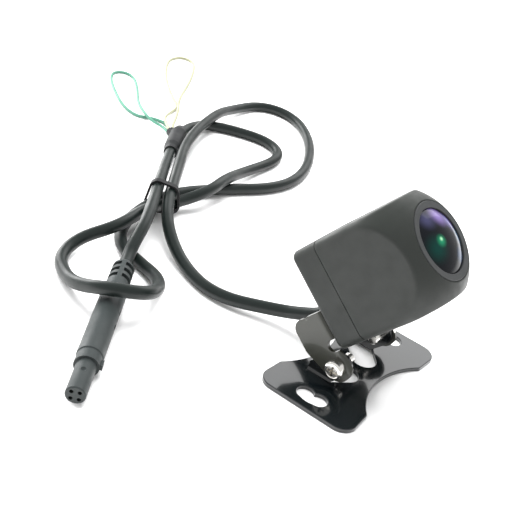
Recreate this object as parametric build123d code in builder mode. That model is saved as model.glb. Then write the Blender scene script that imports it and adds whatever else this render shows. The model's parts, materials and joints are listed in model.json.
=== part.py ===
from build123d import *
import math
import os

# Rear-view camera on a tilting bracket, with its lead. Millimetres, +Z up, lens side towards -Y.
# Origin: middle of the base bracket's underside. The tilt axis runs along X.

# ---- Driving dimensions: base bracket ----
sheet = 1.2  # steel sheet of the bracket and the yoke
base_half_length = 27.0
lobe_half_width = 14.8
lobe_start = 15.8  # where the waist curve meets the lobe
waist_half_width = 9.0
lobe_taper = 0.4  # fall of the lobe's long edge towards the waist
lobe_corner = 4.6
waist_round = 1.5
edge_round = 0.25  # rolled paint edge of the sheet
slot_centre = 21.4
slot_lobe_radius = 2.6
slot_lobe_offset = 2.1
slot_bulge = 3.0  # outer side of the slot, beyond its centre
bend_inner = 1.0  # inside radius of every sheet bend
ear_base_front = 1.0
ear_base_rear = 7.5
ear_shoulder = 4.0
ear_radius = 3.5
blank_clearance = 0.2  # cut around each folded ear

# ---- Tilt pivot ----
pivot_y = -1.2
pivot_z = 7.7
rest_tilt = 50.0  # lens axis above the horizontal at rest
screw_radius = 1.5
tapped_clearance = 0.02
pivot_clearance = 0.06
flange_gap = 0.1  # between each yoke flange and its ear
washer_gap = 0.02
washer_thickness = 0.8
washer_outer = 2.55
washer_split = 0.5
head_radius = 2.7
head_height = 2.0
head_round = 0.9
pivot_screw_length = 8.0
screw_tip = 0.3
head_cross = (3.0, 0.7, 1.2)  # length, width and depth of the driver cross
cross_taper = 12

# ---- Yoke ----
yoke_half_width = 13.5
flange_reach = 11.1
flange_top = -2.6
flange_low = -11.0  # lower end of the web, from the lens axis
web_top = 1.6
yoke_corner = 3.1
yoke_lobe = 4.3
flange_notch = 1.7  # radius of the notch between flange and web
notch_lip = 0.2
web_screw_x = 8.2
web_screw_radius = 1.3
web_screw_head = 2.2
web_head_height = 1.3
web_head_round = 0.4
web_screw_length = 7.0
web_hole_depth = 6.5
web_hole_clearance = 0.05
web_cross = (2.4, 0.5, 0.8)
web_gland_hole = 3.6
pivot_setback = 4.05  # pivot behind the housing's rear face
pivot_drop = 18.4  # pivot below the lens axis

# ---- Housing ----
housing_size = 29.2
housing_edge = 2.5
wall = 1.8
cover_depth = 8.4
rear_wall = 2.0
rear_round = 1.5
front_plane = 34.6  # housing's front ring, from the rear face
dome_depth = 23.0  # where the domed front begins, at the long edges
dome_radius = 17.22
front_ring = 0.35  # width of the flat ring round the bezel
cavity_depth = 26.0
barrel_bore = 8.6
bore_lead = 1.0  # how far the bore reaches back into the cavity
seal_bore = 10.0
seal_ledge = 31.0
bezel_ledge = 33.3
boss_offset = 11.4
boss_radius = 2.4
gasket_inset = 0.5
gasket_width = 0.8
gasket_height = 0.9
cover_screw_radius = 1.0
cover_screw_head = 1.9
cover_screw_length = 12.0
cover_cross = (2.2, 0.5, 0.7)
tapped_runout = 1.5  # tapped depth left below each cover screw
screw_head_height = 1.2
head_recess = 0.3
small_clearance = 0.1

# ---- Lens stack ----
glass_radius = 9.0
glass_flange = 9.8
glass_rim_depth = 34.3
glass_apex = 36.7
glass_thickness = 2.2
bezel_top = 34.8
bezel_radius = 10.95
bezel_chamfer = 0.15
glass_inner_step = 1.2  # inner sphere's rim, inside the glass radius
seal_ring = 9.3
seal_squeeze = 0.02
cup_wall = 1.0
barrel_thread = 6.0
barrel_inner = 4.6
barrel_rear = 23.6
cup_radius = 8.4
cup_start = 28.2
cup_front = 31.5
seal_section = 0.45
holder_top = 27.0
holder_width = 15.0
holder_cavity = 11.0
holder_roof = 22.0
holder_shoulder = 22.6
holder_neck = 7.4
holder_aperture = 4.0
holder_thread_start = 23.0
# outlines turned about the lens axis, as radius and depth
rear_element = [(0, 24.4), (4.55, 24.4), (4.55, 25.4), (3.6, 26.4), (0, 26.6)]
front_element = [(0, 29.2), (7.3, 29.2), (7.3, 30.0), (5.4, 30.8), (2.8, 31.2), (0, 31.3)]
lock_ring = [(6.05, 27.1), (8.1, 27.1), (8.1, 28.1), (6.05, 28.1)]
filter_disc = [(0, 23.0), (4.4, 23.0), (4.4, 23.4), (0, 23.4)]

# ---- Boards ----
board_size = 24.4
board_thickness = 1.0
sensor_board_depth = 19.0
power_board_depth = 11.0
post_offset = 10.2
post_radius = 1.7
board_screw_radius = 0.7
board_screw_length = 14.0
sensor_size = 8.0
sensor_height = 1.0
board_boss_gap = 0.4
board_head_radius = 1.3
board_head_height = 1.0
header_up = 8.0  # header above the lens axis
header_size = (9.0, 3.0)
socket_size = (9.0, 4.4)
socket_mouth = (7.6, 3.0, 2.5)
socket_rear = 7.5
connector_size = (7.5, 2.9, 4.0)
connector_rear = 6.0
inner_wire_places = (-2.7, -0.9, 0.9, 2.7)
inner_wire_radius = 0.5

# ---- Lead ----
cable_radius = 2.0
gland_drop = 5.3  # cable outlet below the lens axis
gland_length = 4.5
gland_tail = 2.6  # radius where the lead leaves
gland_shoulder = 3.3
gland_neck = 3.45
gland_flange = 4.6
gland_flange_height = 1.0
gland_lip = 0.2
handover_gap = 0.2  # between the moving and the resting stretch of the lead
wire_radius = 0.6
plug_radius = 3.65
plug_collar = 3.4
plug_nose = 2.7
plug_length = 60.0
plug_collar_start = 45.0
plug_nose_start = 48.5
plug_relief_end = 13.0
relief_slots = (2.4, 5.5, 8.6)
relief_slot_width = 1.7
relief_core = 2.4
relief_spine = 1.3
grip_notches = (23.5, 30.0)
plug_stem = 2.3
plug_stem_length = 6.0
relief_start_radius = 2.4
relief_shoulder = (3.3, 1.6)
relief_radius = 3.4
relief_step = (1.0, 1.4)  # where the body's radius begins and is full, past the relief
plug_edge = 0.3
grip_notch = (0.8, 2.0, 1.6)
key_start = 0.6  # from the collar's rear
key_size = (1.2, 1.6, 2.3)
dimple_radius = 0.95
dimple_back = 7.2
dimple_lift = 0.5
contact_spacing = 2.1
contact_wall = 0.2
contact_radius = 0.55
contact_length = 5.5
contact_recess = 1.5
tie_wall = 0.8
tie_width = 2.2
tie_angle = 34.0
tie_x = 19.6
tie_y = 90.0
tie_z = 6.3
# the four strands in the tie: place across, place above its middle, and room for the strand's slant
tie_strands = [(2.3, 3.2, 0.1), (-2.2, 2.3, 0.1), (3.1, -2.85, 0.35), (-2.75, -2.2, 0.55)]
sleeve_radius = 3.2
sleeve_tip_radius = 2.3
sleeve_end_radius = 2.6
# along the sleeve: tapered tip, full body, then the end ring
sleeve_stations = (-4.0, 1.0, 17.0, 19.5, 22.4)

# The lead's route from the gland to the plug, over the floor through the tie.
route = [
    (0, 9.13, 15.77),
    (0, 12.98, 11.18),
    (0, 18.5, 8.0),
    (0, 27, 4.26),
    (-7.5, 45.5, 2),
    (-1.5, 64, 2),
    (8, 80, 8.1),
    (31.5, 95, 8.9),
    (62, 115, 7.0),
    (94, 125.5, 7.0),
    (114.5, 130.5, 2.6),
    (128.5, 129.5, 2),
    (135, 123, 2),
    (135.5, 113.5, 2),
    (129.5, 102.5, 2),
    (114, 88.5, 2),
    (91.5, 77, 2),
    (70.5, 75.5, 2),
    (48.5, 88, 2),
    (29, 93, 3.6),
    (11, 92.3, 3.2),
    (-2.5, 88.5, 2),
    (-10.5, 80.5, 2),
    (-12.5, 71, 2),
    (-14.5, 62, 2.4),
    (-22.5, 54.5, 5.6),
    (-33.3, 50.2, 10.4),
    (-41.3, 58, 11.2),
    (-40.5, 69.5, 5.6),
    (-36.5, 78.5, 2.4),
    (-30.5, 87, 2),
    (-20, 90, 3.4),
    (-9, 83.5, 7.6),
    (11, 89.2, 5.3),
    (25.2, 87.5, 3.7),
    (35.5, 82.5, 7.6),
    (49, 85.5, 7.4),
    (68.5, 90.5, 2.6),
    (89.5, 90, 2),
    (99, 95, 2),
    (102, 104.5, 2),
    (99, 114, 2),
    (93.5, 123.5, 2),
    (85, 128.5, 2.4),
    (68.5, 124, 4),
    (41.5, 107.5, 6.4),
    (14, 89, 10.2),
    (-2.5, 78.5, 9.6),
    (-12, 74.6, 6.8),
    (-16.75, 72.23, 4.65),
    (-21, 69.6, 4.55),
]
handover_run = 3  # the run where the moving stretch of the lead meets the resting one
nub_start = (66, 123, 3.6)
nub_end = (68.5, 127.9, 3.2)
nub_radius = 1.9
green_route = [
    (69.1, 127.6, 2.55),
    (73.5, 132.5, 1.2),
    (78, 138.5, 0.6),
    (76, 144.5, 0.6),
    (71.5, 148.5, 0.6),
    (73.5, 158, 0.6),
    (82.5, 171.5, 0.6),
    (90.5, 181.5, 0.6),
    (97.5, 186.8, 0.6),
    (103, 184.5, 0.6),
    (102.5, 178.5, 0.6),
    (94.5, 169, 0.6),
    (83, 158.5, 0.8),
    (74.5, 148, 2.3),
    (71.5, 140.5, 1.9),
    (72, 134.5, 1.6),
    (67.9, 128.2, 2.55),
]
white_route = [
    (67.9, 128.2, 3.85),
    (73, 134.5, 3.3),
    (79.5, 140.5, 1.9),
    (87, 144, 0.6),
    (96, 146.5, 0.6),
    (101.5, 154.5, 0.6),
    (108, 162.5, 0.6),
    (118, 173, 0.6),
    (130, 182.8, 0.6),
    (138.5, 187.4, 0.6),
    (146, 186.2, 0.6),
    (146.5, 179.5, 0.6),
    (139, 173, 0.6),
    (125, 164, 0.6),
    (111, 156.3, 0.8),
    (99, 149.2, 2.2),
    (89.5, 141.5, 1.7),
    (80, 135.5, 1.8),
    (73.5, 131.3, 3.0),
    (69.1, 127.6, 3.85),
]

# ---- Frames ----
tilt = math.radians(rest_tilt)
forward = Vector(0, -math.cos(tilt), math.sin(tilt))
upward = Vector(0, math.sin(tilt), math.cos(tilt))
pivot = Vector(0, pivot_y, pivot_z)
rear_centre = pivot + forward * pivot_setback + upward * pivot_drop
HEAD = Plane(origin=rear_centre, x_dir=(1, 0, 0), z_dir=forward)  # x across, y up, z along the lens
LENS_AXIS = Axis(rear_centre, forward)
PROFILE = Plane(origin=rear_centre, x_dir=(1, 0, 0), z_dir=-upward)  # x radius, y depth along the lens
SIDE = Plane(origin=rear_centre, x_dir=forward, z_dir=(-1, 0, 0))  # x depth, y up
half = housing_size / 2
screw_seat = head_recess + screw_head_height
corner_reach = (half - housing_edge) * math.sqrt(2) + housing_edge  # lens axis to the body's long edges
cavity_half = half - wall
gasket_outer = housing_size - 2 * gasket_inset
gasket_inner = gasket_outer - 2 * gasket_width
gasket_inner_round = housing_edge - gasket_inset - gasket_width
corners = [(x, y) for x in (-boss_offset, boss_offset) for y in (-boss_offset, boss_offset)]
posts = [(-post_offset, 0), (post_offset, 0)]


def finish(part, label):
    """Label a finished piece and write it out."""
    part.label = label
    export_step(part, f"parts/{label}.step")


def corner_radii(points):
    """As large an arc at each corner as its two runs allow."""
    radii = []
    for before, here, after in zip(points, points[1:], points[2:]):
        run_in = Vector(here) - Vector(before)
        run_out = Vector(after) - Vector(here)
        turn = math.radians(run_in.get_angle(run_out))
        radii.append(0.45 * min(run_in.length, run_out.length) / math.tan(turn / 2))
    return radii


def tube(points, radii, radius):
    """A round cord along straight runs joined by tangent arcs."""
    with BuildPart() as cord:
        with BuildLine() as path:
            FilletPolyline(*points, radius=radii)
        with BuildSketch(Plane(origin=path.line @ 0, z_dir=path.line % 0)):
            Circle(radius)
        sweep()
    length = sum(edge.length for edge in path.edges())
    section = math.pi * radius**2
    print("cord", round(length, 1), "mm, volume", round(cord.part.volume), "of", round(section * length))
    return cord.part


os.makedirs("parts", exist_ok=True)

# ---- Base bracket: butterfly plate with two ears folded up out of it ----
ear_outer = yoke_half_width - sheet - flange_gap
bend_start = ear_outer + bend_inner
bend_outer = bend_inner + sheet
# flat length from the start of the bend to the pivot, along the middle of the sheet
blank_reach = math.pi / 2 * (bend_inner + sheet / 2) + pivot_z - bend_outer
shoulder_reach = blank_reach - (pivot_z - ear_shoulder)
waist_end = lobe_half_width - lobe_taper

with BuildPart() as base_bracket:
    with BuildSketch() as base_outline:
        with BuildLine():
            corner = lobe_corner
            quarter = [
                Line((lobe_start, waist_end), (base_half_length - corner, lobe_half_width)),
                TangentArc(
                    (base_half_length - corner, lobe_half_width),
                    (base_half_length, lobe_half_width - corner),
                    tangent=(1, 0),
                ),
                Line((base_half_length, lobe_half_width - corner), (base_half_length, 0)),
            ]
            mirror(quarter, about=Plane.XZ)
            mirror(about=Plane.YZ)
            for side in (1, -1):
                ThreePointArc(
                    (-lobe_start, side * (waist_end)),
                    (0, side * waist_half_width),
                    (lobe_start, side * (waist_end)),
                )
        make_face()
        waist_corners = base_outline.vertices().filter_by(lambda v: abs(abs(v.X) - lobe_start) < 0.01)
        fillet(waist_corners, waist_round)
        for side in (1, -1):
            with Locations(
                (side * slot_centre, slot_lobe_offset),
                (side * slot_centre, -slot_lobe_offset),
            ):
                Circle(slot_lobe_radius, mode=Mode.SUBTRACT)
            with BuildLine():
                outer_x = side * (slot_centre + slot_lobe_radius)
                Polyline(
                    (outer_x, -slot_lobe_offset),
                    (side * slot_centre, -slot_lobe_offset),
                    (side * slot_centre, slot_lobe_offset),
                    (outer_x, slot_lobe_offset),
                )
                ThreePointArc(
                    (outer_x, slot_lobe_offset),
                    (side * (slot_centre + slot_bulge), 0),
                    (outer_x, -slot_lobe_offset),
                )
            make_face(mode=Mode.SUBTRACT)
    extrude(amount=sheet)
    fillet(base_bracket.edges().filter_by(GeomType.LINE, reverse=True).group_by(Axis.Z)[-1], edge_round)
    for side in (1, -1):
        with BuildSketch():
            with BuildLine():
                CenterArc((side * (bend_start - blank_reach), pivot_y), ear_radius + blank_clearance, 0, 360)
                Polyline(
                    (side * bend_start, ear_base_front - blank_clearance),
                    (side * bend_start, ear_base_rear + blank_clearance),
                    (side * (bend_start - shoulder_reach), ear_base_rear + blank_clearance),
                )
            make_hull()
        extrude(amount=sheet, mode=Mode.SUBTRACT)
for side in (1, -1):
    with BuildPart() as ear:
        with BuildSketch(Plane.XZ):
            with BuildLine():
                inner_x = side * (ear_outer - sheet)
                top_z = pivot_z + 2 * ear_radius
                Line((side * bend_start, 0), (side * bend_start, sheet))
                RadiusArc((side * bend_start, sheet), (side * ear_outer, bend_outer), side * bend_inner)
                Polyline(
                    (side * ear_outer, bend_outer),
                    (side * ear_outer, top_z),
                    (inner_x, top_z),
                    (inner_x, bend_outer),
                )
                RadiusArc((inner_x, bend_outer), (side * bend_start, 0), -side * bend_outer)
            make_face()
        extrude(amount=housing_size, both=True)
        with BuildSketch(Plane.YZ):
            with BuildLine():
                CenterArc((pivot_y, pivot_z), ear_radius, 0, 360)
                Polyline((ear_base_front, 0), (ear_base_rear, 0), (ear_base_rear, ear_shoulder))
            make_hull()
            with Locations((pivot_y, pivot_z)):
                Circle(screw_radius + tapped_clearance, mode=Mode.SUBTRACT)
        extrude(amount=housing_size, both=True, mode=Mode.INTERSECT)
    base_bracket.part += ear.part
finish(base_bracket.part, "base_bracket")

# ---- Yoke: folded channel on the rear cover, its flanges outside the ears ----
gland_y = -gland_drop
CHANNEL = Plane(origin=rear_centre, x_dir=(1, 0, 0), z_dir=upward)  # x across, y away from the housing
with BuildPart() as yoke:
    with BuildSketch(CHANNEL) as channel:
        with Locations((0, flange_reach / 2)):
            Rectangle(2 * yoke_half_width, flange_reach)
        fillet(channel.vertices().group_by(Axis.Y)[0], bend_outer)
    extrude(amount=housing_size, both=True)
    with BuildSketch(CHANNEL) as hollow:
        with Locations((0, sheet + flange_reach / 2)):
            Rectangle(2 * (yoke_half_width - sheet), flange_reach)
        fillet(hollow.vertices().group_by(Axis.Y)[0], bend_inner)
    extrude(amount=housing_size, both=True, mode=Mode.SUBTRACT)
    with BuildSketch(SIDE) as flange:
        with BuildLine():
            CenterArc((-pivot_setback, -pivot_drop), yoke_lobe, 0, 360)
            CenterArc((yoke_corner - flange_reach, flange_top - yoke_corner), yoke_corner, 0, 360)
            CenterArc((yoke_corner - flange_reach, flange_low), yoke_corner, 0, 360)
        make_hull()
        with Locations((-flange_reach / 4, (flange_top + flange_low) / 2)):
            Rectangle(flange_reach / 2, flange_top - flange_low)
        notch_x = -flange_notch - notch_lip
        with Locations((notch_x, flange_low - flange_notch)):
            Circle(flange_notch, mode=Mode.SUBTRACT)
        with Locations((notch_x / 2 + 0.5, flange_low - flange_notch)):
            Rectangle(1 - notch_x, 2 * flange_notch, mode=Mode.SUBTRACT)
        with Locations((-sheet / 2, (web_top + flange_low) / 2)):
            Rectangle(sheet, web_top - flange_low)
        with Locations((-pivot_setback, -pivot_drop)):
            Circle(screw_radius + pivot_clearance, mode=Mode.SUBTRACT)
    extrude(amount=housing_size, both=True, mode=Mode.INTERSECT)
    with BuildSketch(HEAD):
        with Locations((0, flange_low - housing_size / 2)):
            Rectangle(2 * (yoke_half_width - sheet), housing_size)
        with Locations((0, gland_y)):
            Circle(web_gland_hole)
        with Locations((-web_screw_x, gland_y), (web_screw_x, gland_y)):
            Circle(web_screw_radius + web_hole_clearance)
        for side in (1, -1):
            with Locations((side * yoke_half_width, (web_top + flange_top) / 2 + 1)):
                Rectangle(2 * bend_outer, web_top - flange_top + 2)
    extrude(amount=-sheet * 2, both=True, mode=Mode.SUBTRACT)
finish(yoke.part, "yoke")

# ---- Rear cover ----
with BuildPart() as rear_cover:
    with BuildSketch(HEAD):
        RectangleRounded(housing_size, housing_size, housing_edge)
    extrude(amount=cover_depth)
    fillet(rear_cover.faces().sort_by(Axis((0, 0, 0), forward))[0].edges(), rear_round)
    with BuildSketch(HEAD.offset(rear_wall)):
        RectangleRounded(2 * cavity_half, 2 * cavity_half, housing_edge - rear_round / 2)
        with Locations(*corners):
            Circle(boss_radius, mode=Mode.SUBTRACT)
        with Locations((-web_screw_x, gland_y), (web_screw_x, gland_y)):
            Circle(boss_radius, mode=Mode.SUBTRACT)
    extrude(amount=cover_depth, mode=Mode.SUBTRACT)
    with BuildSketch(HEAD):
        with Locations(*corners):
            Circle(cover_screw_head + small_clearance)
    extrude(amount=screw_seat, mode=Mode.SUBTRACT)
    with BuildSketch(HEAD):
        with Locations(*corners):
            Circle(cover_screw_radius + small_clearance)
        with Locations((0, gland_y)):
            Circle(gland_neck + web_hole_clearance)
    extrude(amount=cover_depth, mode=Mode.SUBTRACT)
    with BuildSketch(HEAD):
        with Locations((-web_screw_x, gland_y), (web_screw_x, gland_y)):
            Circle(web_screw_radius + tapped_clearance)
    extrude(amount=web_hole_depth, mode=Mode.SUBTRACT)
finish(rear_cover.part, "rear_cover")

# ---- Front housing: square body that ends in a dome round the lens ----
with BuildPart() as front_housing:
    with BuildSketch(HEAD.offset(cover_depth)):
        RectangleRounded(housing_size, housing_size, housing_edge)
    extrude(amount=front_plane - cover_depth)
    with BuildSketch(PROFILE):
        with BuildLine():
            dome_end = bezel_radius + small_clearance + front_ring
            Polyline((dome_end, front_plane), (0, front_plane), (0, cover_depth))
            Polyline((0, cover_depth), (corner_reach, cover_depth), (corner_reach, dome_depth))
            RadiusArc((corner_reach, dome_depth), (dome_end, front_plane), -dome_radius)
        make_face()
    revolve(axis=LENS_AXIS, mode=Mode.INTERSECT)
    with BuildSketch(HEAD.offset(cover_depth)):
        RectangleRounded(2 * cavity_half, 2 * cavity_half, housing_edge - rear_round / 2)
        with Locations(*corners):
            Circle(boss_radius, mode=Mode.SUBTRACT)
    extrude(amount=cavity_depth - cover_depth, mode=Mode.SUBTRACT)
    with BuildSketch(HEAD.offset(sensor_board_depth + board_thickness)):
        with Locations(*posts):
            Circle(post_radius)
    extrude(amount=cavity_depth - sensor_board_depth - board_thickness)
    with BuildSketch(HEAD.offset(cover_depth)):
        with Locations(*corners):
            Circle(cover_screw_radius + tapped_clearance)
    extrude(amount=screw_seat + cover_screw_length + tapped_runout - cover_depth, mode=Mode.SUBTRACT)
    with BuildSketch(HEAD.offset(sensor_board_depth)):
        with Locations(*posts):
            Circle(board_screw_radius + tapped_clearance)
    extrude(amount=cavity_depth - sensor_board_depth, mode=Mode.SUBTRACT)
    with BuildSketch(HEAD.offset(cavity_depth - bore_lead)):
        Circle(barrel_bore)
    extrude(amount=housing_size, mode=Mode.SUBTRACT)
    with BuildSketch(HEAD.offset(seal_ledge)):
        Circle(seal_bore)
    extrude(amount=housing_size, mode=Mode.SUBTRACT)
    with BuildSketch(HEAD.offset(bezel_ledge)):
        Circle(bezel_radius + small_clearance)
    extrude(amount=housing_size, mode=Mode.SUBTRACT)
    with BuildSketch(HEAD.offset(cover_depth)):
        RectangleRounded(gasket_outer, gasket_outer, housing_edge - gasket_inset)
        RectangleRounded(gasket_inner, gasket_inner, gasket_inner_round, mode=Mode.SUBTRACT)
    extrude(amount=gasket_height, mode=Mode.SUBTRACT)
finish(front_housing.part, "front_housing")

with BuildPart() as cover_gasket:
    with BuildSketch(HEAD.offset(cover_depth)):
        RectangleRounded(gasket_outer, gasket_outer, housing_edge - gasket_inset)
        RectangleRounded(gasket_inner, gasket_inner, gasket_inner_round, mode=Mode.SUBTRACT)
    extrude(amount=gasket_height)
finish(cover_gasket.part, "cover_gasket")

# ---- Screws of the head ----
with BuildPart() as cover_screws:
    with BuildSketch(HEAD.offset(head_recess)):
        with Locations(*corners):
            Circle(cover_screw_head)
    extrude(amount=screw_head_height)
    with BuildSketch(HEAD.offset(screw_seat)):
        with Locations(*corners):
            Circle(cover_screw_radius)
    extrude(amount=cover_screw_length)
    with BuildSketch(HEAD.offset(head_recess)):
        with Locations(*corners):
            Rectangle(cover_cross[0], cover_cross[1])
            Rectangle(cover_cross[1], cover_cross[0])
    extrude(amount=cover_cross[2], mode=Mode.SUBTRACT)
finish(cover_screws.part, "cover_screws")

with BuildPart() as yoke_screws:
    with BuildSketch(HEAD.offset(-sheet)):
        with Locations((-web_screw_x, gland_y), (web_screw_x, gland_y)):
            Circle(web_screw_head)
    extrude(amount=-web_head_height)
    heads = yoke_screws.faces().group_by(Axis((0, 0, 0), forward))[0]
    fillet(heads.edges(), web_head_round)
    with BuildSketch(HEAD.offset(-sheet)):
        with Locations((-web_screw_x, gland_y), (web_screw_x, gland_y)):
            Circle(web_screw_radius)
    extrude(amount=web_screw_length)
    with BuildSketch(HEAD.offset(-sheet - web_head_height)):
        with Locations((-web_screw_x, gland_y), (web_screw_x, gland_y)):
            Rectangle(web_cross[0], web_cross[1])
            Rectangle(web_cross[1], web_cross[0])
    extrude(amount=web_cross[2], mode=Mode.SUBTRACT)
finish(yoke_screws.part, "yoke_screws")

# ---- Lens stack ----
def turned(outline, label):
    """Revolve a closed (radius, depth) outline about the lens axis and write it out."""
    with BuildPart() as piece:
        with BuildSketch(PROFILE):
            with BuildLine():
                Polyline(*outline, close=True)
            make_face()
        revolve(axis=LENS_AXIS)
    finish(piece.part, label)


with BuildPart() as lens_bezel:
    with BuildSketch(HEAD.offset(bezel_ledge)):
        Circle(bezel_radius)
        Circle(glass_radius + small_clearance / 2, mode=Mode.SUBTRACT)
    extrude(amount=bezel_top - bezel_ledge)
    rim = lens_bezel.faces().sort_by(Axis((0, 0, 0), forward))[-1].edges()
    chamfer(rim, bezel_chamfer)
finish(lens_bezel.part, "lens_bezel")

with BuildPart() as front_lens:
    with BuildSketch(PROFILE):
        with BuildLine():
            flange_rear = seal_ledge + 2 * seal_section
            flange_front = bezel_ledge - small_clearance / 2
            Polyline(
                (0, glass_apex - glass_thickness),
                (0, glass_apex),
            )
            dome_sag = glass_apex - glass_rim_depth
            sphere = (glass_radius**2 + dome_sag**2) / (2 * dome_sag)
            RadiusArc((0, glass_apex), (glass_radius, glass_rim_depth), sphere)
            Polyline(
                (glass_radius, glass_rim_depth),
                (glass_radius, flange_front),
                (glass_flange, flange_front),
                (glass_flange, flange_rear),
                (glass_radius - glass_inner_step, flange_rear),
            )
            inner_sag = glass_apex - glass_thickness - flange_rear
            inner_rim = glass_radius - glass_inner_step
            inner_sphere = (inner_rim**2 + inner_sag**2) / (2 * inner_sag)
            RadiusArc((inner_rim, flange_rear), (0, glass_apex - glass_thickness), -inner_sphere)
        make_face()
    revolve(axis=LENS_AXIS)
finish(front_lens.part, "front_lens")

with BuildPart() as lens_seal:
    with BuildSketch(PROFILE):
        with Locations((seal_ring, seal_ledge + seal_section)):
            Circle(seal_section - seal_squeeze)
    revolve(axis=LENS_AXIS)
finish(lens_seal.part, "lens_seal")

turned(
    [
        (barrel_inner, barrel_rear),
        (barrel_thread, barrel_rear),
        (barrel_thread, cup_start),
        (cup_radius, cup_start),
        (cup_radius, cup_front),
        (cup_radius - cup_wall, cup_front),
        (cup_radius - cup_wall, cup_start + cup_wall),
        (barrel_inner, cup_start + cup_wall),
    ],
    "lens_barrel",
)
turned(rear_element, "inner_lens_rear")
turned(front_element, "inner_lens_front")
turned(lock_ring, "lens_lock_ring")
turned(filter_disc, "ir_filter")

with BuildPart() as lens_holder:
    board_front = sensor_board_depth + board_thickness
    with BuildSketch(HEAD.offset(board_front)):
        Rectangle(holder_width, holder_width)
    extrude(amount=holder_shoulder - board_front)
    with BuildSketch(HEAD.offset(holder_shoulder)):
        Circle(holder_neck)
    extrude(amount=holder_top - holder_shoulder)
    with BuildSketch(HEAD.offset(board_front)):
        Rectangle(holder_cavity, holder_cavity)
    extrude(amount=holder_roof - board_front, mode=Mode.SUBTRACT)
    with BuildSketch(HEAD.offset(holder_roof)):
        Circle(holder_aperture)
    extrude(amount=housing_size, mode=Mode.SUBTRACT)
    with BuildSketch(HEAD.offset(holder_thread_start)):
        Circle(barrel_thread + tapped_clearance)
    extrude(amount=housing_size, mode=Mode.SUBTRACT)
finish(lens_holder.part, "lens_holder")

# ---- Boards ----
def board(depth, label):
    """One board with its corners cut round the screw bosses."""
    with BuildPart() as piece:
        with BuildSketch(HEAD.offset(depth)):
            Rectangle(board_size, board_size)
            with Locations(*corners):
                Circle(boss_radius + board_boss_gap, mode=Mode.SUBTRACT)
            with Locations(*posts):
                Circle(board_screw_radius + small_clearance, mode=Mode.SUBTRACT)
        extrude(amount=board_thickness)
    finish(piece.part, label)


board(sensor_board_depth, "sensor_board")
board(power_board_depth, "power_board")

with BuildPart() as image_sensor:
    with BuildSketch(HEAD.offset(board_front)):
        Rectangle(sensor_size, sensor_size)
    extrude(amount=sensor_height)
finish(image_sensor.part, "image_sensor")

with BuildPart() as board_spacers:
    with BuildSketch(HEAD.offset(power_board_depth + board_thickness)):
        with Locations(*posts):
            Circle(post_radius)
            Circle(board_screw_radius + small_clearance, mode=Mode.SUBTRACT)
    extrude(amount=sensor_board_depth - power_board_depth - board_thickness)
finish(board_spacers.part, "board_spacers")

with BuildPart() as board_screws:
    with BuildSketch(HEAD.offset(power_board_depth)):
        with Locations(*posts):
            Circle(board_head_radius)
    extrude(amount=-board_head_height)
    with BuildSketch(HEAD.offset(power_board_depth)):
        with Locations(*posts):
            Circle(board_screw_radius)
    extrude(amount=board_screw_length)
finish(board_screws.part, "board_screws")

with BuildPart() as board_header:
    with BuildSketch(HEAD.offset(power_board_depth + board_thickness)):
        with Locations((0, header_up)):
            Rectangle(header_size[0], header_size[1])
    extrude(amount=sensor_board_depth - power_board_depth - board_thickness)
finish(board_header.part, "board_header")

with BuildPart() as board_socket:
    with BuildSketch(HEAD.offset(socket_rear)):
        with Locations((0, gland_y)):
            Rectangle(socket_size[0], socket_size[1])
    extrude(amount=power_board_depth - socket_rear)
    with BuildSketch(HEAD.offset(socket_rear)):
        with Locations((0, gland_y)):
            Rectangle(socket_mouth[0], socket_mouth[1])
    extrude(amount=socket_mouth[2], mode=Mode.SUBTRACT)
finish(board_socket.part, "board_socket")

with BuildPart() as cable_connector:
    with BuildSketch(HEAD.offset(connector_rear)):
        with Locations((0, gland_y)):
            Rectangle(connector_size[0], connector_size[1])
    extrude(amount=connector_size[2])
finish(cable_connector.part, "cable_connector")

# ---- Gland, where the lead enters the rear cover ----
gland_top = rear_wall + gland_flange_height
with BuildPart() as cable_gland:
    with BuildSketch(PROFILE):
        with BuildLine():
            Polyline(
                (0, -gland_length),
                (gland_tail, -gland_length),
                (gland_shoulder, -sheet - gland_lip),
                (gland_neck, -sheet - gland_lip),
                (gland_neck, rear_wall),
                (gland_flange, rear_wall),
                (gland_flange, gland_top),
                (0, gland_top),
                close=True,
            )
        make_face()
    revolve(axis=LENS_AXIS)
gland = Pos(*(upward * gland_y)) * cable_gland.part
finish(gland, "cable_gland")

with BuildPart() as inner_wires:
    with BuildSketch(HEAD.offset(gland_top)):
        with Locations(*[(x, gland_y) for x in inner_wire_places]):
            Circle(inner_wire_radius)
    extrude(amount=connector_rear - gland_top)
finish(inner_wires.part, "inner_wires")

# ---- Pivot screws and lock washers, in X ----
washer_inner_face = yoke_half_width + washer_gap
head_face = washer_inner_face + washer_thickness
RIGHT = Plane(origin=(0, pivot_y, pivot_z), x_dir=(0, 1, 0), z_dir=(1, 0, 0))
with BuildPart() as screw:
    with BuildSketch(RIGHT.offset(head_face)):
        Circle(head_radius)
    extrude(amount=head_height)
    fillet(screw.faces().sort_by(Axis.X)[-1].edges(), head_round)
    with BuildSketch(RIGHT.offset(head_face)):
        Circle(screw_radius)
    extrude(amount=-pivot_screw_length)
    chamfer(screw.faces().sort_by(Axis.X)[0].edges(), screw_tip)
    with BuildSketch(RIGHT.offset(head_face + head_height)) as cross:
        Rectangle(head_cross[0], head_cross[1])
        Rectangle(head_cross[1], head_cross[0])
    extrude(amount=-head_cross[2], taper=cross_taper, mode=Mode.SUBTRACT)
with BuildPart() as pivot_screws:
    add(screw.part)
    mirror(about=Plane.YZ)
finish(pivot_screws.part, "pivot_screws")

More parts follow.
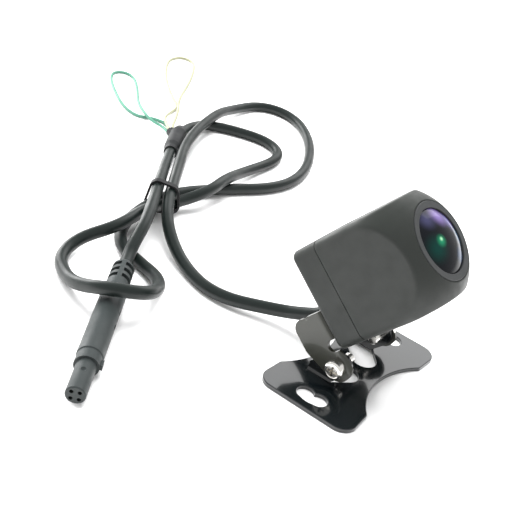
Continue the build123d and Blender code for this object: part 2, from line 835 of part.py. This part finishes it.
with BuildPart() as lock_washers:
    with BuildSketch(RIGHT.offset(washer_inner_face)):
        Circle(washer_outer)
        Circle(screw_radius + tapped_clearance, mode=Mode.SUBTRACT)
        with Locations((washer_outer / 2, washer_outer / 2)):
            Rectangle(washer_split, 2 * washer_outer, rotation=-45, mode=Mode.SUBTRACT)
    extrude(amount=washer_thickness)
    mirror(about=Plane.YZ)
finish(lock_washers.part, "lock_washers")

# ---- Lead: a stretch that tilts with the head, then the rest of the way to the plug ----
radii = corner_radii(route)
lead_start = Vector(route[handover_run])
lead_next = Vector(route[handover_run + 1])
run = (lead_next - lead_start).normalized()
handover = (lead_start + lead_next) / 2
moving_end = handover - run * (handover_gap / 2)
resting_start = handover + run * (handover_gap / 2)
cable_lead = tube(route[: handover_run + 1] + [tuple(moving_end)], radii[:handover_run], cable_radius)
finish(cable_lead, "cable_lead")
cable = tube([tuple(resting_start)] + route[handover_run + 1 :], radii[handover_run:], cable_radius)
finish(cable, "cable")

green_wire = tube(green_route, corner_radii(green_route), wire_radius)
finish(green_wire, "green_wire_loop")
white_wire = tube(white_route, corner_radii(white_route), wire_radius)
finish(white_wire, "white_wire_loop")

# ---- Junction sleeve over the lead, with a nub where the spare wires leave ----
sleeve_from = Vector(route[-7])
sleeve_to = Vector(route[-6])
SLEEVE = Plane(origin=sleeve_from, z_dir=sleeve_to - sleeve_from)
sleeve_outline = [
    (0, sleeve_stations[0]),
    (sleeve_tip_radius, sleeve_stations[0]),
    (sleeve_radius, sleeve_stations[1]),
    (sleeve_radius, sleeve_stations[2]),
    (sleeve_end_radius, sleeve_stations[3]),
    (sleeve_end_radius, sleeve_stations[4]),
    (0, sleeve_stations[4]),
]
with BuildPart() as sleeve:
    with BuildSketch(Plane(origin=sleeve_from, x_dir=SLEEVE.x_dir, z_dir=SLEEVE.y_dir)):
        with BuildLine():
            Polyline(*[(x, -z) for x, z in sleeve_outline], close=True)
        make_face()
    revolve(axis=Axis(sleeve_from, SLEEVE.z_dir))
    nub_way = Vector(nub_end) - Vector(nub_start)
    with BuildSketch(Plane(origin=nub_start, z_dir=nub_way)):
        Circle(nub_radius)
    extrude(amount=nub_way.length)
    add(cable, mode=Mode.SUBTRACT)
finish(sleeve.part, "junction_sleeve")

# ---- Tie ring: a band stretched round four strands of the lead ----
with BuildPart() as tie_ring:
    along = Vector(math.cos(math.radians(tie_angle)), math.sin(math.radians(tie_angle)), 0)
    TIE = Plane(origin=(tie_x, tie_y, tie_z), x_dir=(-along.Y, along.X, 0), z_dir=along)
    for spare, mode in ((tie_wall, Mode.ADD), (0, Mode.SUBTRACT)):
        with BuildSketch(TIE.offset(-tie_width / 2)):
            with BuildLine():
                for across, rise, slant in tie_strands:
                    CenterArc((across, rise), cable_radius + slant + spare, 0, 360)
            make_hull()
        extrude(amount=tie_width, mode=mode)
finish(tie_ring.part, "tie_ring")

# ---- Plug ----
plug_from = Vector(route[-1])
plug_way = (plug_from - Vector(route[-2])).normalized()
PLUG = Plane(origin=plug_from, x_dir=plug_way.cross(Vector(0, 0, 1)), z_dir=plug_way)
stem_rear = plug_collar_start - plug_stem_length
PLUG_SIDE = Plane(origin=plug_from, x_dir=PLUG.x_dir, z_dir=-PLUG.y_dir)
with BuildPart() as plug_overmould:
    with BuildSketch(PLUG_SIDE):
        with BuildLine():
            Polyline(
                (0, 0),
                (relief_start_radius, 0),
                relief_shoulder,
                (relief_radius, plug_relief_end),
                (relief_radius, plug_relief_end + relief_step[0]),
                (plug_radius, plug_relief_end + relief_step[1]),
                (plug_radius, plug_collar_start - plug_edge),
                (plug_radius - plug_edge, plug_collar_start),
                (plug_collar, plug_collar_start),
                (plug_collar, plug_nose_start),
                (0, plug_nose_start),
                close=True,
            )
        make_face()
    revolve(axis=Axis(plug_from, plug_way))
    for start in relief_slots:
        with BuildSketch(PLUG.offset(start)):
            Circle(plug_radius + 1)
            Circle(relief_core, mode=Mode.SUBTRACT)
            Rectangle(relief_spine, 2 * plug_radius + 2, mode=Mode.SUBTRACT)
        extrude(amount=relief_slot_width, mode=Mode.SUBTRACT)
    for start in grip_notches:
        with BuildSketch(PLUG.offset(start)):
            with Locations((plug_radius, 0), (-plug_radius, 0)):
                Rectangle(grip_notch[0], grip_notch[1])
        extrude(amount=grip_notch[2], mode=Mode.SUBTRACT)
    with BuildSketch(PLUG.offset(plug_collar_start + key_start)):
        with Locations((-plug_collar, 0)):
            Rectangle(key_size[0], key_size[1])
    extrude(amount=key_size[2])
    with BuildSketch(PLUG.offset(stem_rear)):
        Circle(plug_stem)
    extrude(amount=plug_length, mode=Mode.SUBTRACT)
finish(plug_overmould.part, "plug_overmould")

pin_place = contact_spacing / 2
pins = [(x, y) for x in (-pin_place, pin_place) for y in (-pin_place, pin_place)]
with BuildPart() as plug_insert:
    with BuildSketch(PLUG.offset(plug_nose_start)):
        Circle(plug_nose)
    extrude(amount=plug_length - plug_nose_start)
    chamfer(plug_insert.faces().sort_by(Axis((0, 0, 0), plug_way))[-1].edges(), plug_edge)
    with BuildSketch(PLUG.offset(stem_rear)):
        Circle(plug_stem - tapped_clearance)
    extrude(amount=plug_nose_start - stem_rear)
    with BuildSketch(PLUG.offset(plug_length)):
        with Locations(*pins):
            Circle(contact_radius)
    extrude(amount=-contact_length - contact_recess, mode=Mode.SUBTRACT)
    dimple = plug_from + plug_way * (plug_length - dimple_back)
    with Locations(dimple - PLUG.y_dir * (plug_nose + dimple_lift)):
        Sphere(dimple_radius, mode=Mode.SUBTRACT)
finish(plug_insert.part, "plug_insert")

with BuildPart() as plug_contacts:
    with BuildSketch(PLUG.offset(plug_length - contact_length - contact_recess)):
        with Locations(*pins):
            Circle(contact_radius)
            Circle(contact_radius - contact_wall, mode=Mode.SUBTRACT)
    extrude(amount=contact_length)
finish(plug_contacts.part, "plug_contacts")
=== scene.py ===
import json

import bpy
import numpy as np
from mathutils import Matrix


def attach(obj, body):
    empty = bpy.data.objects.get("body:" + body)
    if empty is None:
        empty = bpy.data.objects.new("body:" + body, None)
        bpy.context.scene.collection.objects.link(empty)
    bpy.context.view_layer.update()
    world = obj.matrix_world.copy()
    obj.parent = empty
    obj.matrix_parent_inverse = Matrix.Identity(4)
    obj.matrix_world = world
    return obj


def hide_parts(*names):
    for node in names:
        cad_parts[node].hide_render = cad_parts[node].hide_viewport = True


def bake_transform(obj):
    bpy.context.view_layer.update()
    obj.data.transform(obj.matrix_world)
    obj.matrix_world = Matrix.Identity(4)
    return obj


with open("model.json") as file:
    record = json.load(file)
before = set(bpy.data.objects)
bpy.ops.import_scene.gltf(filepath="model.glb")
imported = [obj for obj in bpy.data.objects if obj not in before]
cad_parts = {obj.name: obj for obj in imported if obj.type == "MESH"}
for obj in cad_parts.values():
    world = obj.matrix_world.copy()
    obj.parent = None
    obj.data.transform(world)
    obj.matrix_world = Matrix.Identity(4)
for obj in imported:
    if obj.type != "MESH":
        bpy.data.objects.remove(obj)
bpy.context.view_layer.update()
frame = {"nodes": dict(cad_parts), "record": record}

MM = 0.001
scene = bpy.context.scene

# ---- Camera: angle, roll, place and lens ----
AZIMUTH, ELEVATION, ROLL = np.radians((-61.3, 29.94, 14.52))
CAMERA_PLACE = (-0.206380, -0.074094, 0.152547)
LENS, SENSOR = 65.04, 36.0  # millimetres
NEAREST = 0.01  # metres


def camera_axes(azimuth, elevation, roll):
    """Right, up and back of a camera turned by azimuth and elevation, then rolled about its sight line."""
    flat = np.cos(elevation)
    back = np.array([np.sin(azimuth) * flat, -np.cos(azimuth) * flat, np.sin(elevation)])
    level = np.array([np.cos(azimuth), np.sin(azimuth), 0.0])
    rise = np.cross(back, level)
    right = np.cos(roll) * level + np.sin(roll) * rise
    up = np.cos(roll) * rise - np.sin(roll) * level
    return right, up, back


camera_data = bpy.data.cameras.new("camera")
camera_data.lens = LENS
camera_data.sensor_width = SENSOR
camera_data.clip_start = NEAREST
camera = bpy.data.objects.new("camera", camera_data)
scene.collection.objects.link(camera)
turn = Matrix(np.array(camera_axes(AZIMUTH, ELEVATION, ROLL)).T.tolist()).to_4x4()
camera.matrix_world = Matrix.Translation(CAMERA_PLACE) @ turn
scene.camera = camera

# ---- Routes of the lead and the spare wires, in millimetres, the same points as their solids ----
CABLE_RADIUS = 2.0
WIRE_RADIUS = 0.6
ROUTE_STEPS = 24  # points to each run of a route
ROUTE = [
    (0, 9.13, 15.77),
    (0, 12.98, 11.18),
    (0, 18.5, 8.0),
    (0, 27, 4.26),
    (-7.5, 45.5, 2),
    (-1.5, 64, 2),
    (8, 80, 8.1),
    (31.5, 95, 8.9),
    (62, 115, 7.0),
    (94, 125.5, 7.0),
    (114.5, 130.5, 2.6),
    (128.5, 129.5, 2),
    (135, 123, 2),
    (135.5, 113.5, 2),
    (129.5, 102.5, 2),
    (114, 88.5, 2),
    (91.5, 77, 2),
    (70.5, 75.5, 2),
    (48.5, 88, 2),
    (29, 93, 3.6),
    (11, 92.3, 3.2),
    (-2.5, 88.5, 2),
    (-10.5, 80.5, 2),
    (-12.5, 71, 2),
    (-14.5, 62, 2.4),
    (-22.5, 54.5, 5.6),
    (-33.3, 50.2, 10.4),
    (-41.3, 58, 11.2),
    (-40.5, 69.5, 5.6),
    (-36.5, 78.5, 2.4),
    (-30.5, 87, 2),
    (-20, 90, 3.4),
    (-9, 83.5, 7.6),
    (11, 89.2, 5.3),
    (25.2, 87.5, 3.7),
    (35.5, 82.5, 7.6),
    (49, 85.5, 7.4),
    (68.5, 90.5, 2.6),
    (89.5, 90, 2),
    (99, 95, 2),
    (102, 104.5, 2),
    (99, 114, 2),
    (93.5, 123.5, 2),
    (85, 128.5, 2.4),
    (68.5, 124, 4),
    (41.5, 107.5, 6.4),
    (14, 89, 10.2),
    (-2.5, 78.5, 9.6),
    (-12, 74.6, 6.8),
    (-16.75, 72.23, 4.65),
    (-21, 69.6, 4.55),
]
GREEN_ROUTE = [
    (69.1, 127.6, 2.55),
    (73.5, 132.5, 1.2),
    (78, 138.5, 0.6),
    (76, 144.5, 0.6),
    (71.5, 148.5, 0.6),
    (73.5, 158, 0.6),
    (82.5, 171.5, 0.6),
    (90.5, 181.5, 0.6),
    (97.5, 186.8, 0.6),
    (103, 184.5, 0.6),
    (102.5, 178.5, 0.6),
    (94.5, 169, 0.6),
    (83, 158.5, 0.8),
    (74.5, 148, 2.3),
    (71.5, 140.5, 1.9),
    (72, 134.5, 1.6),
    (67.9, 128.2, 2.55),
]
WHITE_ROUTE = [
    (67.9, 128.2, 3.85),
    (73, 134.5, 3.3),
    (79.5, 140.5, 1.9),
    (87, 144, 0.6),
    (96, 146.5, 0.6),
    (101.5, 154.5, 0.6),
    (108, 162.5, 0.6),
    (118, 173, 0.6),
    (130, 182.8, 0.6),
    (138.5, 187.4, 0.6),
    (146, 186.2, 0.6),
    (146.5, 179.5, 0.6),
    (139, 173, 0.6),
    (125, 164, 0.6),
    (111, 156.3, 0.8),
    (99, 149.2, 2.2),
    (89.5, 141.5, 1.7),
    (80, 135.5, 1.8),
    (73.5, 131.3, 3.0),
    (69.1, 127.6, 3.85),
]


def route_curve(name, points):
    """One open quadratic NURBS through the route's tangent polygon, clamped at both ends."""
    data = bpy.data.curves.new(name, "CURVE")
    data.dimensions = "3D"
    spline = data.splines.new("NURBS")
    spline.points.add(len(points) - 1)
    for point, place in zip(spline.points, points):
        point.co = (*(v * MM for v in place), 1.0)
    spline.order_u = 3
    spline.use_endpoint_u = True
    spline.resolution_u = ROUTE_STEPS
    return data


def followed(points):
    """Points of a route's NURBS, in metres, read from the curve with no bevel."""
    data = route_curve("route_line", points)
    holder = bpy.data.objects.new("route_line", data)
    mesh = bpy.data.meshes.new_from_object(holder)
    line = np.empty(3 * len(mesh.vertices))
    mesh.vertices.foreach_get("co", line)
    bpy.data.meshes.remove(mesh)
    bpy.data.objects.remove(holder)
    bpy.data.curves.remove(data)
    return line.reshape(-1, 3)


def line_length(line):
    """Length of a line of points."""
    return float(np.linalg.norm(np.diff(line, axis=0), axis=1).sum())


def carried_frames(line):
    """Two cross vectors along a line, each pair carried on from the one before without twist."""
    tangent = np.gradient(line, axis=0)
    tangent /= np.linalg.norm(tangent, axis=1)[:, None]
    side = np.cross(tangent[0], (1.0, 0.0, 0.0))
    side /= np.linalg.norm(side)
    sides = []
    for way in tangent:
        side = side - way * (side @ way)
        side /= np.linalg.norm(side)
        sides.append(side)
    sides = np.array(sides)
    return sides, np.cross(tangent, sides)


def mesh_object(name, verts, faces):
    """A named smooth mesh object at the origin."""
    mesh = bpy.data.meshes.new(name)
    mesh.from_pydata(np.asarray(verts).tolist(), [], faces)
    mesh.polygons.foreach_set("use_smooth", [True] * len(mesh.polygons))
    mesh.update()
    made = bpy.data.objects.new(name, mesh)
    scene.collection.objects.link(made)
    return made


def ring_faces(rings, around, looped):
    """Quads between neighbouring rings of around points; looped also joins the last ring to the first."""
    here = np.arange(around)
    after = (here + 1) % around
    below = np.arange(rings if looped else rings - 1)[:, None] * around
    above = (below + around) % (rings * around)
    quads = np.stack([below + here, below + after, above + after, above + here], axis=-1)
    return quads.reshape(-1, 4).tolist()


def capped_faces(rings, around):
    """Quads of a tube with both ends capped."""
    last = (rings - 1) * around
    caps = [list(range(around - 1, -1, -1)), list(range(last, last + around))]
    return ring_faces(rings, around, False) + caps


def tube(name, line, radius, around=24):
    """line + radius*(cos a*side + sin a*other), a from 0 to 2 pi."""
    side, other = carried_frames(line)
    a = np.linspace(0, 2 * np.pi, around, endpoint=False)
    rings = line[:, None] + radius * (
        np.cos(a)[None, :, None] * side[:, None] + np.sin(a)[None, :, None] * other[:, None]
    )
    return mesh_object(name, rings.reshape(-1, 3), capped_faces(len(line), around))


# ---- Materials ----
NOISE_DETAIL = 3.0
NOISE_RANGE = (0.3, 0.7)  # noise values that reach the two ends of a spread
PATCH = 12  # how much broader the patches of roughness are than the grain


def principled(name, colour, rough, metal=0.0, coat=0.0, coat_rough=0.03, specular=0.5):
    """A material with one Principled shader; returns it with its node tree and shader."""
    material = bpy.data.materials.new(name)
    material.use_nodes = True
    shader = material.node_tree.nodes["Principled BSDF"]
    shader.inputs["Base Color"].default_value = (*colour, 1)
    shader.inputs["Roughness"].default_value = rough
    shader.inputs["Metallic"].default_value = metal
    shader.inputs["Coat Weight"].default_value = coat
    shader.inputs["Coat Roughness"].default_value = coat_rough
    shader.inputs["Specular IOR Level"].default_value = specular
    return material, material.node_tree, shader


def noise(tree, scale):
    """Noise over Object coordinates, in cells of 1/scale metres."""
    place = tree.nodes.new("ShaderNodeTexCoord")
    texture = tree.nodes.new("ShaderNodeTexNoise")
    texture.inputs["Scale"].default_value = scale
    texture.inputs["Detail"].default_value = NOISE_DETAIL
    tree.links.new(place.outputs["Object"], texture.inputs["Vector"])
    return texture


def roughen(tree, shader, texture, strength, depth):
    """Bump from a texture, depth in metres."""
    bump = tree.nodes.new("ShaderNodeBump")
    bump.inputs["Strength"].default_value = strength
    bump.inputs["Distance"].default_value = depth
    tree.links.new(texture.outputs["Fac"], bump.inputs["Height"])
    tree.links.new(bump.outputs["Normal"], shader.inputs["Normal"])


def vary_roughness(tree, shader, texture, low, high):
    """Spread a texture between two values of roughness."""
    span = tree.nodes.new("ShaderNodeMapRange")
    span.inputs["From Min"].default_value = NOISE_RANGE[0]
    span.inputs["From Max"].default_value = NOISE_RANGE[1]
    span.inputs["To Min"].default_value = low
    span.inputs["To Max"].default_value = high
    tree.links.new(texture.outputs["Fac"], span.inputs["Value"])
    tree.links.new(span.outputs["Result"], shader.inputs["Roughness"])


def textured(name, colour, rough, grain, depth, strength=0.4, spread=0.08, **more):
    """A principled material with fine grain and slightly varied roughness."""
    material, tree, shader = principled(name, colour, rough, **more)
    texture = noise(tree, grain)
    roughen(tree, shader, texture, strength, depth)
    vary_roughness(tree, shader, noise(tree, grain / PATCH), rough - spread, rough + spread)
    return material


looks = {
    "black_paint": textured(
        "gloss_black_paint", (0.004, 0.006, 0.007), 0.14, 900, 2e-6, 0.15, 0.03, coat=0.6
    ),
    "yoke_paint": textured(
        "olive_black_paint", (0.024, 0.0255, 0.0175), 0.36, 700, 4e-6, 0.25, 0.06, coat=0.4
    ),
    "black_plastic": textured(
        "matte_black_plastic", (0.0165, 0.0192, 0.0170), 0.48, 3200, 2e-5, 0.35, specular=0.4
    ),
    "grey_plastic": textured(
        "grey_ring_plastic", (0.035, 0.037, 0.038), 0.5, 3000, 1e-5, 0.3, specular=0.4
    ),
    "black_rubber": textured("black_rubber", (0.008, 0.008, 0.009), 0.55, 2500, 1e-5, specular=0.3),
    "grey_rubber": textured("grey_rubber", (0.2, 0.2, 0.2), 0.7, 2500, 1e-5),
    "steel": textured("zinc_steel", (0.55, 0.55, 0.56), 0.3, 2500, 3e-6, metal=1.0),
    "nickel": textured("bright_nickel", (0.86, 0.84, 0.80), 0.16, 2500, 3e-6, metal=1.0),
    "green_board": textured("green_board", (0.02, 0.15, 0.06), 0.35, 2000, 5e-6),
    "sensor_face": textured("sensor_face", (0.05, 0.05, 0.09), 0.15, 2000, 1e-6),
    "brass": textured("contact_brass", (0.35, 0.28, 0.18), 0.4, 2500, 3e-6, metal=1.0),
    "connector_black": textured("connector_black", (0.02, 0.02, 0.02), 0.5, 2500, 5e-6),
    "connector_white": textured("connector_ivory", (0.8, 0.78, 0.7), 0.5, 2500, 5e-6),
    "wire_mixed": textured("red_wire", (0.5, 0.05, 0.04), 0.4, 2500, 5e-6),
    "cable_black": textured(
        "lead_jacket", (0.0062, 0.0100, 0.0090), 0.38, 1400, 8e-6, 0.3, specular=0.36
    ),
    "sleeve_rubber": textured(
        "sleeve_rubber", (0.014, 0.015, 0.016), 0.6, 1500, 3e-5, 0.6, specular=0.3
    ),
    "wire_green": textured("green_wire", (0.08, 0.24, 0.17), 0.45, 2500, 5e-6),
    "wire_pale": textured("pale_yellow_wire", (0.33, 0.33, 0.215), 0.45, 2500, 5e-6),
    "plug_rubber": textured("plug_rubber", (0.030, 0.036, 0.036), 0.5, 2600, 1e-5, specular=0.35),
    "lens_glass": textured("coated_glass", (0.01, 0.01, 0.02), 0.04, 500, 1e-7, 0.05, 0.01, coat=1.0),
}


def paint(obj, material):
    """Give an object one material in every slot."""
    if not obj.material_slots:
        obj.data.materials.append(material)
    for place in obj.material_slots:
        place.material = material


slot_of = {part["node"]: part["material_slot"] for part in frame["record"]["subparts"]}
for node, obj in frame["nodes"].items():
    paint(obj, looks[slot_of[node]])
paint(frame["nodes"]["yoke"], looks["yoke_paint"])

# ---- The lead, as one tube from the gland to the plug ----
lead_line = followed(ROUTE)
lead = tube("lead", lead_line, CABLE_RADIUS * MM)
paint(lead, looks["cable_black"])
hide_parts("cable", "cable_lead")
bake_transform(lead)


def wire(name, points, look, node):
    """A spare wire: out, round a loop and back."""
    made = bpy.data.objects.new(name, route_curve(name, points))
    made.data.bevel_depth = WIRE_RADIUS * MM
    made.data.bevel_resolution = 3
    made.data.use_fill_caps = True
    scene.collection.objects.link(made)
    paint(made, looks[look])
    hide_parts(node)
    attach(made, "base")
    return made


green = wire("green_wire", GREEN_ROUTE, "wire_green", "green_wire_loop")
white = wire("pale_wire", WHITE_ROUTE, "wire_pale", "white_wire_loop")


for made, points in ((green, GREEN_ROUTE), (white, WHITE_ROUTE)):
    line_length(followed(points))

# ---- Front shell: square prism run smoothly into a turned dome ----
REST_TILT = 50.0  # degrees, lens axis above the horizontal
TILT = np.radians(REST_TILT)
FORWARD = np.array([0.0, -np.cos(TILT), np.sin(TILT)])
UPWARD = np.array([0.0, np.sin(TILT), np.cos(TILT)])
PIVOT = np.array([0.0, -1.2, 7.7])
PIVOT_SETBACK, PIVOT_DROP = 4.05, 18.4
REAR_CENTRE = PIVOT + PIVOT_SETBACK * FORWARD + PIVOT_DROP * UPWARD
HOUSING_HALF, EDGE_ROUND, SEAM_DEPTH = 14.6, 2.5, 8.4
DOME_CENTRE, DOME_ARC = (2.70, 19.74), 17.22  # radius and depth of the arc's centre, and its radius
FRONT_PLANE, FRONT_RADIUS, COUNTERBORE, BEZEL_LEDGE = 34.6, 11.4, 11.05, 33.3
CREASE = 0.7  # width over which the flat sides run into the dome
SEAM_GROOVE = [(0.9, 0.25), (0.3, 0.02), (0.1, 0.1)]  # inset from the outline, and depth past the seam
FRONT_EASE, FRONT_RISE = 0.06, 0.01  # softened edges of the front ring
SEAT_RADIUS, SEAT_LEDGE = 10.0, 31.0
BARREL_BORE = 8.6
CAVITY_DEPTH, CAVITY_REACH = 25.8, 12.0
CAVITY_HALF, CAVITY_ROUND = 12.8, 1.75
SHARP_ANGLE = 38  # degrees


def head_place(across, up, depth):
    """Points across, up and along the lens axis, in millimetres, as places in the shared frame in metres."""
    across, up, depth = np.broadcast_arrays(across, up, depth)
    place = REAR_CENTRE + up[..., None] * UPWARD + depth[..., None] * FORWARD
    place = place + across[..., None] * np.array([1.0, 0.0, 0.0])
    return place * MM


def rounded_square(angle, half, corner):
    """Distance from the middle to a rounded square's outline at each angle."""
    fold = np.abs((angle + np.pi / 4) % (np.pi / 2) - np.pi / 4)
    flat = half / np.cos(fold)
    inset = half - corner
    along = inset * (np.cos(fold) + np.sin(fold))
    across = inset * (np.cos(fold) - np.sin(fold))
    arc = along + np.sqrt(np.maximum(corner**2 - across**2, 0))
    return np.where(np.tan(fold) * half > inset, arc, flat)


def softer_min(a, b, width):
    """The smaller of two values, rounded over where they are within width of each other."""
    near = np.maximum(width - np.abs(a - b), 0) / width
    return np.minimum(a, b) - near**2 * width / 4


GLASS_SPHERE, GLASS_APEX = 18.07, 36.7  # radius of the dome glass and depth of its top
GLASS_DARK = (0.003, 0.004, 0.006, 1)
# Painted reflections: coloured patches of light reflected off the lens coating, painted into the glass
# colour and fixed in place
GLASS_PAINTED_REFLECTIONS = [  # painted reflections of the lens coating: place across and up the face, reach, and colour
    (-3.0, 6.6, 3.8, (0.035, 0.035, 0.08)),
    (2.2, 6.0, 4.4, (0.17, 0.12, 0.32)),
    (5.9, 3.4, 4.0, (0.13, 0.11, 0.30)),
    (7.0, -1.4, 3.8, (0.03, 0.09, 0.17)),
    (3.4, -5.6, 3.0, (0.02, 0.05, 0.12)),
    (-5.5, -1.0, 5.0, (0.0, 0.028, 0.022)),
    (-3.2, 0.3, 2.2, (0.01, 0.19, 0.09)),
    # a painted highlight: the small bright green-white spot on the glass
    (-3.0, 0.7, 0.8, (0.30, 0.62, 0.36)),
]


def glass_with_painted_reflections():
    """Dark coated dome glass with soft round painted reflections in its colour, each fading out from its own
    place on the face.
    """
    look = dict(coat=0.1, coat_rough=0.02, specular=0.12)
    material, tree, shader = principled("front_dome_glass_painted_reflections", (0.01, 0.01, 0.02), 0.12, **look)
    place = tree.nodes.new("ShaderNodeTexCoord")
    colour = None
    # each pass mixes one painted reflection into the glass colour
    for side, up, reach, reflection_colour in GLASS_PAINTED_REFLECTIONS:
        depth = GLASS_APEX - GLASS_SPHERE + np.sqrt(GLASS_SPHERE**2 - side**2 - up**2)
        gap = tree.nodes.new("ShaderNodeVectorMath")
        gap.operation = "DISTANCE"
        gap.inputs[1].default_value = head_place(np.array(side), np.array(up), np.array(depth)).tolist()
        tree.links.new(place.outputs["Object"], gap.inputs[0])
        fade = tree.nodes.new("ShaderNodeMapRange")
        fade.interpolation_type = "SMOOTHSTEP"
        fade.inputs["From Min"].default_value = 0.0
        fade.inputs["From Max"].default_value = reach * MM
        fade.inputs["To Min"].default_value = 1.0
        fade.inputs["To Max"].default_value = 0.0
        tree.links.new(gap.outputs["Value"], fade.inputs["Value"])
        mix = tree.nodes.new("ShaderNodeMix")
        mix.data_type = "RGBA"
        coloured = [socket for socket in mix.inputs if socket.type == "RGBA"]
        coloured[0].default_value = GLASS_DARK
        coloured[1].default_value = (*reflection_colour, 1)
        tree.links.new(fade.outputs["Result"], mix.inputs["Factor"])
        if colour is not None:
            tree.links.new(colour, coloured[0])
        colour = next(socket for socket in mix.outputs if socket.type == "RGBA")
    tree.links.new(colour, shader.inputs["Base Color"])
    return material


def front_shell(around=288, steps=150):
    """Radius at angle a and depth s: soft minimum of rounded square and dome arc, then the front ring."""
    a = np.linspace(0, 2 * np.pi, around, endpoint=False)
    square = rounded_square(a, HOUSING_HALF, EDGE_ROUND)
    way = np.linspace(0, 1, steps)
    depth = SEAM_DEPTH + (FRONT_PLANE - SEAM_DEPTH) * np.sin(way * np.pi / 2)
    rows = [(square - inset, SEAM_DEPTH + past) for inset, past in SEAM_GROOVE]
    for s in depth[1:]:
        past = np.clip(s - DOME_CENTRE[1], 0, DOME_ARC)
        dome = DOME_CENTRE[0] + np.sqrt(DOME_ARC**2 - past**2) + np.maximum(DOME_CENTRE[1] - s, 0)
        rows.append((softer_min(square, dome, CREASE), s))
    inner_rings = [
        (FRONT_RADIUS - FRONT_EASE, FRONT_PLANE + FRONT_RISE),
        (COUNTERBORE + FRONT_EASE, FRONT_PLANE),
        (COUNTERBORE, FRONT_PLANE - FRONT_EASE),
        (COUNTERBORE, BEZEL_LEDGE),
        (SEAT_RADIUS, BEZEL_LEDGE),
        (SEAT_RADIUS, SEAT_LEDGE),
        (BARREL_BORE, SEAT_LEDGE),
        (BARREL_BORE, CAVITY_DEPTH),
        (CAVITY_REACH, CAVITY_DEPTH),
    ]
    rows += [(np.full(around, radius), s) for radius, s in inner_rings]
    cavity = rounded_square(a, CAVITY_HALF, CAVITY_ROUND)
    rows += [(cavity, CAVITY_DEPTH), (cavity, SEAM_DEPTH + SEAM_GROOVE[0][1])]
    verts = [head_place(r * np.cos(a), r * np.sin(a), np.full(around, s)) for r, s in rows]
    return mesh_object("front_shell", np.concatenate(verts), ring_faces(len(rows), around, True))


# the front lens glass gets painted reflections in its colour
paint(frame["nodes"]["front_lens"], glass_with_painted_reflections())
shell = front_shell()
shell.data.set_sharp_from_angle(angle=np.radians(SHARP_ANGLE))
paint(shell, looks["black_plastic"])
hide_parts("front_housing")
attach(shell, "head")


ROUNDED = (("tie_ring", 0.3), ("yoke", 0.18))  # node, and width of its rounded edges in mm
ROUND_SEGMENTS, ROUND_ANGLE = 3, 40


def round_edges(node, width):
    """Round a CAD node's sharp edges."""
    edge = frame["nodes"][node].modifiers.new("edge_round", "BEVEL")
    edge.width = width * MM
    edge.segments = ROUND_SEGMENTS
    edge.limit_method = "ANGLE"
    edge.angle_limit = np.radians(ROUND_ANGLE)
    edge.harden_normals = False


for node, width in ROUNDED:
    round_edges(node, width)

# ---- Floor, sky and soft lights ----
FLOOR_HALF, FLOOR_DROP = 3.0, 1e-4  # metres
SKY_STRENGTH = 0.8
SOFTBOXES = [  # name, place and aim in metres, size, watts, and whether shiny pieces show it
    ("softbox_top", (0.1, 0.1, 0.9), (0.03, 0.06, 0.0), 0.6, 11, False),
    ("softbox_back", (0.1, 0.8, 0.4), (0.0, 0.05, 0.02), 0.5, 11, False),
    ("softbox_rim", (0.35, 1.0, 0.22), (0.0, 0.0, 0.03), 0.5, 4, True),
    ("softbox_far", (0.7, 0.22, 0.5), (0.0, 0.0, 0.0), 0.55, 1.7, True),
]
around_floor = ((-1, -1), (1, -1), (1, 1), (-1, 1))
floor_corners = [(x * FLOOR_HALF, y * FLOOR_HALF, -FLOOR_DROP) for x, y in around_floor]
floor = mesh_object("floor", floor_corners, [(0, 1, 2, 3)])
paint(floor, principled("pale_floor", (0.96, 0.96, 0.96), 0.9, specular=0.1)[0])
world = bpy.data.worlds.new("studio")
scene.world = world
world.use_nodes = True
world.node_tree.nodes["Background"].inputs["Color"].default_value = (1, 1, 1, 1)
world.node_tree.nodes["Background"].inputs["Strength"].default_value = SKY_STRENGTH


def softbox(name, place, aim, size, power, mirrored):
    """A square area light at place, pointed at aim; mirrored if shiny pieces show it."""
    data = bpy.data.lights.new(name, "AREA")
    data.size = size
    data.energy = power
    made = bpy.data.objects.new(name, data)
    scene.collection.objects.link(made)
    back = np.array(place, float) - np.array(aim, float)
    back /= np.linalg.norm(back)
    right = np.cross((0, 0, 1), back)
    right /= np.linalg.norm(right)
    rows = np.array([right, np.cross(back, right), back]).T
    made.matrix_world = Matrix.Translation(place) @ Matrix(rows.tolist()).to_4x4()
    made.visible_glossy = mirrored


for box in SOFTBOXES:
    softbox(*box)
scene.view_settings.view_transform = "Standard"
